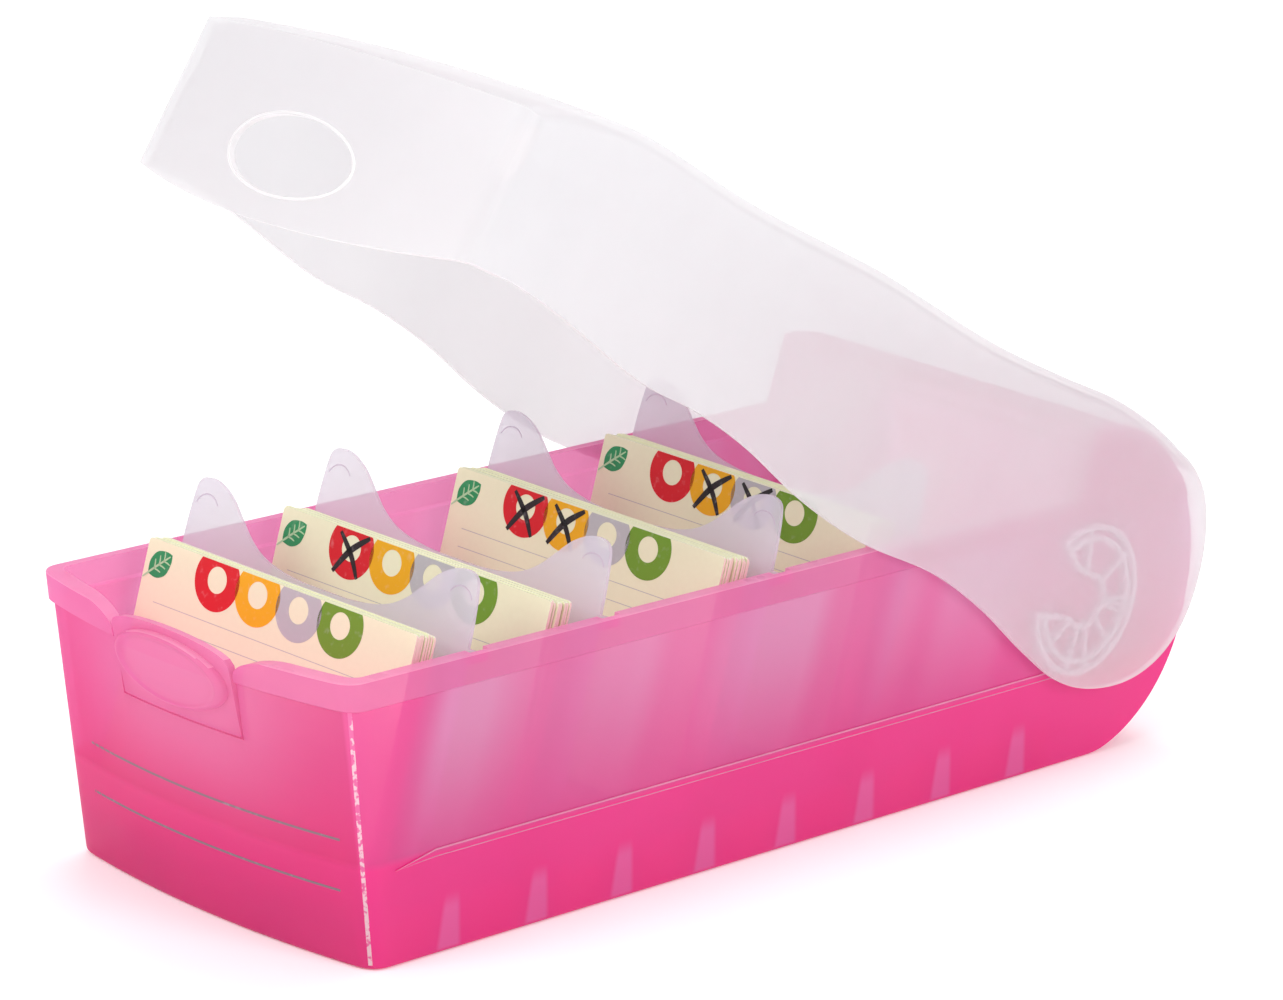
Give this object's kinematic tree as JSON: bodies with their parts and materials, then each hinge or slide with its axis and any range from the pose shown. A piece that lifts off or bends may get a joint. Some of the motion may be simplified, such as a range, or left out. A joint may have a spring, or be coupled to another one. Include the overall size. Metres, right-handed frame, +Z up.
{
  "type": "flip-lid card index box",
  "caption": "Translucent desk box for small landscape index cards: raised card floor, leaning dividers and card stacks, press-in latch tongue and a wavy hinged lid held half open.",
  "frame": {"origin": "on the table, under the middle of the whole box's outline with the lid at rest, half open", "axes": "+Z up; +Y from the latch end to the hinged rear end, the long way of the box; +X to the right seen from the latch end"},
  "size_m": [0.0898, 0.256, 0.166],
  "materials": {
    "tray_plastic": "satin translucent pink polypropylene",
    "lid_plastic": "satin milky clear polypropylene",
    "divider_plastic": "satin pale lilac translucent polypropylene",
    "card_stock": "uncoated cream card with printed rings"
  },
  "bodies": {
    "tray": {"tray": "tray_plastic"},
    "lid": {"lid": "lid_plastic"},
    "latch": {"latch_tongue": "tray_plastic"},
    "divider_1": {"divider_1": "divider_plastic"},
    "front_card_1": {"card_1_01": "card_stock"},
    "card_stack_1": {"card_1_02": "card_stock", "card_1_03": "card_stock", "card_1_04": "card_stock", "card_1_05": "card_stock", "card_1_06": "card_stock", "card_1_07": "card_stock", "card_1_08": "card_stock"},
    "divider_2": {"divider_2": "divider_plastic"},
    "front_card_2": {"card_2_01": "card_stock"},
    "card_stack_2": {"card_2_02": "card_stock", "card_2_03": "card_stock", "card_2_04": "card_stock", "card_2_05": "card_stock", "card_2_06": "card_stock", "card_2_07": "card_stock", "card_2_08": "card_stock", "card_2_09": "card_stock"},
    "divider_3": {"divider_3": "divider_plastic"},
    "front_card_3": {"card_3_01": "card_stock"},
    "card_stack_3": {"card_3_02": "card_stock", "card_3_03": "card_stock", "card_3_04": "card_stock", "card_3_05": "card_stock", "card_3_06": "card_stock", "card_3_07": "card_stock", "card_3_08": "card_stock", "card_3_09": "card_stock", "card_3_10": "card_stock", "card_3_11": "card_stock", "card_3_12": "card_stock"},
    "divider_4": {"divider_4": "divider_plastic"},
    "front_card_4": {"card_4_01": "card_stock"},
    "card_stack_4": {"card_4_02": "card_stock", "card_4_03": "card_stock", "card_4_04": "card_stock", "card_4_05": "card_stock", "card_4_06": "card_stock", "card_4_07": "card_stock", "card_4_08": "card_stock", "card_4_09": "card_stock", "card_4_10": "card_stock", "card_4_11": "card_stock", "card_4_12": "card_stock"}
  },
  "joints": [
    {"name": "lid_hinge", "type": "hinge", "parent": "tray", "child": "lid", "pos_m": [0, 0.09021, 0.037], "axis": [-1, 0, 0], "range_deg": [-25.9, 65]},
    {"name": "latch_flex", "type": "hinge", "parent": "tray", "child": "latch", "pos_m": [0, -0.12054, 0.042], "axis": [-1, 0, 0], "range_deg": [0, 8], "stiffness_Nm_per_rad": 0.25},
    {"name": "divider_1_lift", "type": "slide", "parent": "tray", "child": "divider_1", "axis": [0, 0.225, 0.9744], "range_m": [0, 0.058]},
    {"name": "front_card_1_lift", "type": "slide", "parent": "tray", "child": "front_card_1", "axis": [0, 0.225, 0.9744], "range_m": [0, 0.056]},
    {"name": "card_stack_1_lift", "type": "slide", "parent": "tray", "child": "card_stack_1", "axis": [0, 0.225, 0.9744], "range_m": [0, 0.052]},
    {"name": "divider_2_lift", "type": "slide", "parent": "tray", "child": "divider_2", "axis": [0, 0.225, 0.9744], "range_m": [0, 0.058]},
    {"name": "front_card_2_lift", "type": "slide", "parent": "tray", "child": "front_card_2", "axis": [0, 0.225, 0.9744], "range_m": [0, 0.056]},
    {"name": "card_stack_2_lift", "type": "slide", "parent": "tray", "child": "card_stack_2", "axis": [0, 0.225, 0.9744], "range_m": [0, 0.052]},
    {"name": "divider_3_lift", "type": "slide", "parent": "tray", "child": "divider_3", "axis": [0, 0.225, 0.9744], "range_m": [0, 0.04]},
    {"name": "front_card_3_lift", "type": "slide", "parent": "tray", "child": "front_card_3", "axis": [0, 0.225, 0.9744], "range_m": [0, 0.045]},
    {"name": "card_stack_3_lift", "type": "slide", "parent": "tray", "child": "card_stack_3", "axis": [0, 0.225, 0.9744], "range_m": [0, 0.04]},
    {"name": "divider_4_lift", "type": "slide", "parent": "tray", "child": "divider_4", "axis": [0, 0.225, 0.9744], "range_m": [0, 0.02]},
    {"name": "front_card_4_lift", "type": "slide", "parent": "tray", "child": "front_card_4", "axis": [0, 0.225, 0.9744], "range_m": [0, 0.03]},
    {"name": "card_stack_4_lift", "type": "slide", "parent": "tray", "child": "card_stack_4", "axis": [0, 0.225, 0.9744], "range_m": [0, 0.026]}
  ]
}
